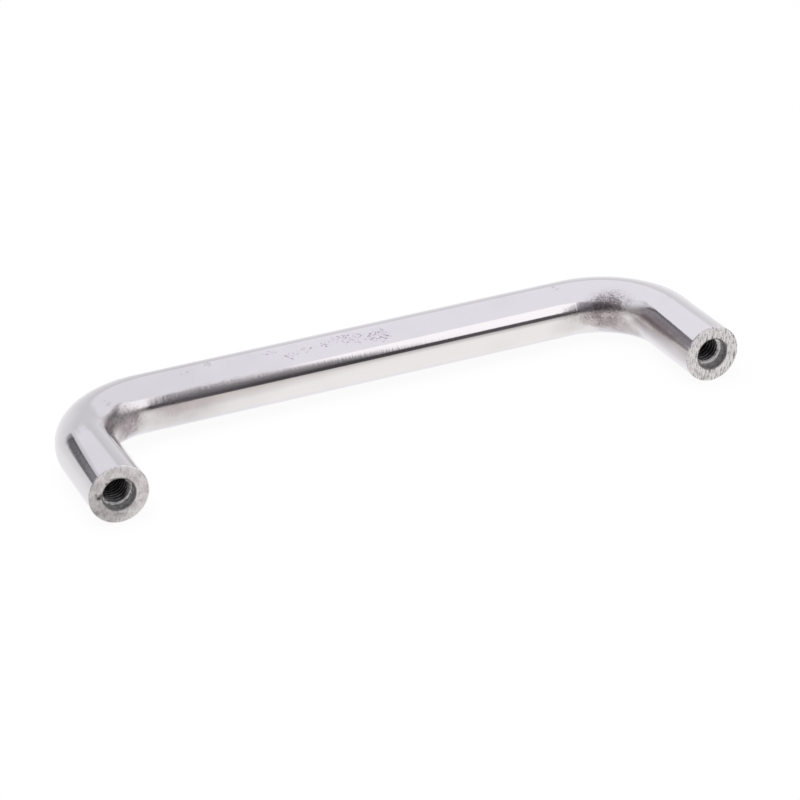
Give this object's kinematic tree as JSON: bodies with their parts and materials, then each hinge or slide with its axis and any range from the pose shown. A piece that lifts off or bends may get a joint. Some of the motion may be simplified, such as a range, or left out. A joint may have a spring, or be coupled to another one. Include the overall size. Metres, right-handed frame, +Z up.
{
  "type": "bridge pull handle",
  "caption": "Bent round-bar pull handle, polished steel, with two legs and a tapped hole with a plain recess in the end of each leg.",
  "frame": {"origin": "on the mounting plane, midway between the two tapped holes' axes", "axes": "+X along the grip from one leg to the other, +Y from the mounting plane out to the grip, +Z up across the bar; the leg ends face -Y and the handle lies on its side"},
  "size_m": [0.14, 0.041, 0.012],
  "materials": {
    "polished_steel": "polished"
  },
  "bodies": {
    "root": {"handle": "polished_steel"}
  },
  "joints": []
}
